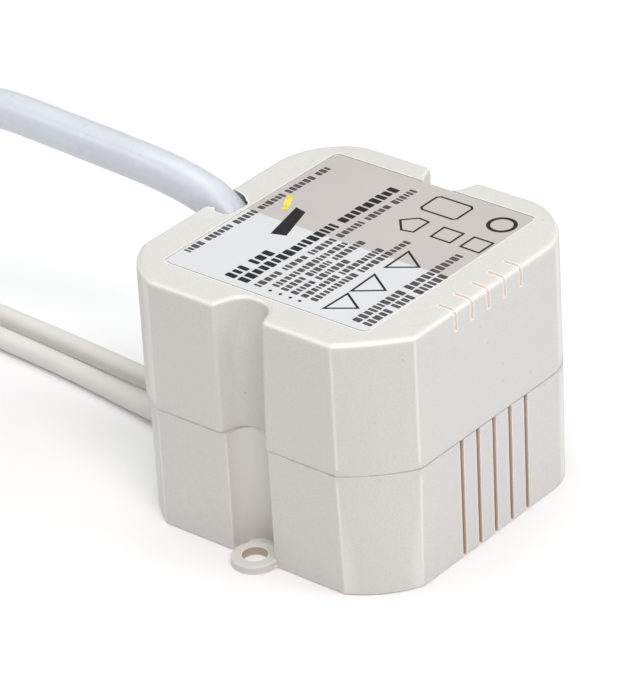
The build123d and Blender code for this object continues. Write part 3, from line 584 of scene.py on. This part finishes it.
def flat_piece(name, loops, material):
    """loops: list of (outer, inner or None) polygons in label millimetres."""
    bm = bmesh.new()
    for outer, inner in loops:
        vo = [bm.verts.new((x * MM, y * MM, PRINT_Z * MM)) for x, y in outer]
        if inner is None:
            bm.faces.new(vo)
        else:
            vi = [bm.verts.new((x * MM, y * MM, PRINT_Z * MM)) for x, y in inner]
            n = len(vo)
            for i in range(n):
                bm.faces.new((vo[i], vo[(i + 1) % n], vi[(i + 1) % n], vi[i]))
    bmesh.ops.recalc_face_normals(bm, faces=bm.faces)
    for f in bm.faces:
        if f.normal.z < 0:
            f.normal_flip()
    me = bpy.data.meshes.new(name)
    bm.to_mesh(me)
    bm.free()
    me.materials.append(material)
    o = bpy.data.objects.new(name, me)
    bpy.context.scene.collection.objects.link(o)
    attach(o, "root")
    return o


def bar(x0, x1, y, h, cut=0.12):
    """Short bar along the text direction, its middle height on y at x = 0."""
    c = min(cut, h * 0.3, (x1 - x0) * 0.3)

    def pt(x, d):
        return (x + d * 0.028, y + TILT * x + d)

    return (
        [
            pt(x0 + c, -h / 2),
            pt(x1 - c, -h / 2),
            pt(x1, -h / 2 + c),
            pt(x1, h / 2 - c),
            pt(x1 - c, h / 2),
            pt(x0 + c, h / 2),
            pt(x0, h / 2 - c),
            pt(x0, -h / 2 + c),
        ],
        None,
    )


def row(x0, x1, y, h, pitch, words, seed):
    """A row of blocks that fills x0 to x1, grouped into that many words."""
    rng = random.Random(seed)
    gap = pitch * 0.24
    word_gap = pitch * 0.85
    cells = max(words, int(round((x1 - x0 - word_gap * (words - 1)) / pitch)))
    weights = [0.6 + rng.random() for _ in range(words)]
    counts = [max(1, int(round(cells * w / sum(weights)))) for w in weights]
    spans, x = [], 0.0
    for n in counts:
        for _ in range(n):
            w = pitch * (0.62 + 0.5 * rng.random()) - gap
            spans.append((x, x + w, 0.86 if rng.random() < 0.4 else 1.0))
            x += w + gap
        x += word_gap - gap
    k = (x1 - x0) / spans[-1][1]
    return [bar(x0 + a * k, x0 + b * k, y, h * tall) for a, b, tall in spans]


def outline(points, width):
    """Closed line of that width drawn inside the polygon."""
    n = len(points)
    area = sum(points[i][0] * points[(i + 1) % n][1] - points[(i + 1) % n][0] * points[i][1] for i in range(n))
    s = 1.0 if area > 0 else -1.0
    inner = []
    for i in range(n):
        p0, p1, p2 = Vector(points[i - 1]), Vector(points[i]), Vector(points[(i + 1) % n])
        d0, d1 = (p1 - p0).normalized(), (p2 - p1).normalized()
        n0, n1 = Vector((-d0.y, d0.x)) * s, Vector((-d1.y, d1.x)) * s
        k = (n0 + n1) / (1 + n0.dot(n1))
        q = p1 + k * width
        inner.append((q.x, q.y))
    return (points, inner)


def ring(cx, cy, r, width, n=40):
    o = [(cx + r * math.cos(2 * math.pi * i / n), cy + r * math.sin(2 * math.pi * i / n)) for i in range(n)]
    k = (r - width) / r
    i_ = [(cx + (x - cx) * k, cy + (y - cy) * k) for x, y in o]
    return (o, i_)


fine_rows = (
    row(-14.7, 16.7, 17.4, 1.35, 0.92, 6, 3)
    + row(-17.0, 18.1, 2.45, 1.35, 0.92, 6, 5)
    + row(-15.6, -0.1, 0.35, 1.3, 0.9, 1, 7)
    + row(-15.8, 1.6, -1.4, 1.3, 0.9, 3, 11)
    + row(-15.85, -4.0, -3.2, 1.3, 0.9, 2, 13)
    + row(-15.8, 1.3, -4.95, 1.3, 0.9, 2, 17)
    + row(-15.8, 5.2, -6.7, 1.3, 0.9, 2, 19)
    + row(-17.1, 6.1, -15.3, 1.6, 1.05, 2, 23)
    + row(-17.1, 0.2, -17.2, 1.55, 1.05, 3, 29)
)
bold_rows = row(-17.1, -8.1, 7.45, 1.9, 1.25, 2, 31) + row(-17.1, 17.0, 5.1, 1.9, 1.3, 2, 37)
print_fine = flat_piece("label_print_fine", fine_rows, mat_ink_soft)
print_bold = flat_piece("label_print_bold", bold_rows, mat_ink)

marks = []
for y in (0.55, -1.3, -3.1, -4.8):
    marks.append(([(-16.95 + 0.28 * math.cos(2 * math.pi * i / 12), y + 0.28 * math.sin(2 * math.pi * i / 12)) for i in range(12)], None))
marks += [
    outline([(-17.05, -8.7), (-14.0, -13.2), (-11.2, -8.9)], 0.37),
    outline([(-11.05, -8.85), (-7.85, -13.25), (-4.75, -8.6)], 0.37),
    outline([(-2.95, -8.6), (0.1, -13.1), (3.25, -8.5)], 0.37),
    outline([(11.76, -13.75), (11.75, -17.46), (7.95, -17.45), (8.05, -13.7)], 0.36),
    outline([(11.7, -8.35), (11.7, -12.2), (8.05, -12.2), (8.1, -8.4)], 0.36),
    outline([(9.8, -1.6), (11.9, -3.8), (11.7, -5.9), (7.75, -5.85), (7.25, -3.8)], 0.36),
    outline([(18.3, -1.85), (18.9, -2.45), (18.9, -8.1), (18.3, -8.7), (14.5, -8.7), (13.9, -8.1), (13.9, -2.45), (14.5, -1.85)], 0.37),
    ring(16.7, -15.0, 2.3, 0.6),
]
print_marks = flat_piece("label_print_marks", marks, mat_ink)
# plain blocks in place of a name
block = [([(-3.1, 8.85), (4.0, 11.05), (4.45, 13.15), (-3.9, 11.2)], None)]
print_block = flat_piece("label_print_block", block, mat_ink)
print_tint = flat_piece("label_print_tint", [([(2.8, 13.5), (6.8, 15.45), (6.9, 16.7), (2.9, 14.75)], None)], mat_ink_yellow)

# ------------------------------------------------------------------ floor and light
floor_mesh = bpy.data.meshes.new("floor")
floor_mesh.from_pydata([(-6, -6, -0.00002), (6, -6, -0.00002), (6, 6, -0.00002), (-6, 6, -0.00002)], [], [(0, 1, 2, 3)])
floor = bpy.data.objects.new("floor", floor_mesh)
bpy.context.scene.collection.objects.link(floor)
mf = Mat("floor_board")
mf.set(
    Base_Color=mf.ramp(mf.noise(3.0, 3.0), (0.3, (0.775, 0.775, 0.775)), (0.7, (0.79, 0.79, 0.79))),
    Roughness=mf.spread(mf.noise(20.0), 0.7, 0.8),
    Emission_Color=(1.0, 1.0, 1.0, 1.0),
    Emission_Strength=0.09,
)
floor_mesh.materials.append(mf.mat)

world = bpy.data.worlds.new("studio")
bpy.context.scene.world = world
world.use_nodes = True
bg = world.node_tree.nodes["Background"]
bg.inputs[0].default_value = (1.0, 1.0, 1.0, 1.0)
bg.inputs[1].default_value = 0.2


def softbox(name, at, target, size, power, colour=(1, 1, 1)):
    data = bpy.data.lights.new(name, "AREA")
    data.shape = "RECTANGLE"
    data.size, data.size_y = size
    data.energy = power
    data.color = colour
    o = bpy.data.objects.new(name, data)
    bpy.context.scene.collection.objects.link(o)
    o.location = at
    way = Vector(target) - Vector(at)
    o.rotation_euler = way.to_track_quat("-Z", "Y").to_euler()
    return o


softbox("key", (0.55, -1.05, 0.95), (0, 0, 0.02), (0.7, 0.7), 6.8, (0.93, 0.98, 1.0))
softbox("left", (-0.42, -0.54, 0.985), (0, 0, 0.02), (0.6, 0.6), 8.3, (1.0, 0.93, 0.94))
softbox("rim", (-0.6, 0.67, 0.79), (0, 0, 0.02), (0.3, 0.3), 1.3, (1.0, 0.9, 0.9))
softbox("top", (0.1, 0.25, 1.3), (0, 0, 0.0), (0.9, 0.9), 9.2, (0.95, 1.0, 0.98))

scene = bpy.context.scene
scene.view_settings.view_transform = "Standard"
scene.view_settings.look = "None"
scene.view_settings.exposure = 0.0
scene.view_settings.gamma = 1.0

bpy.context.view_layer.update()
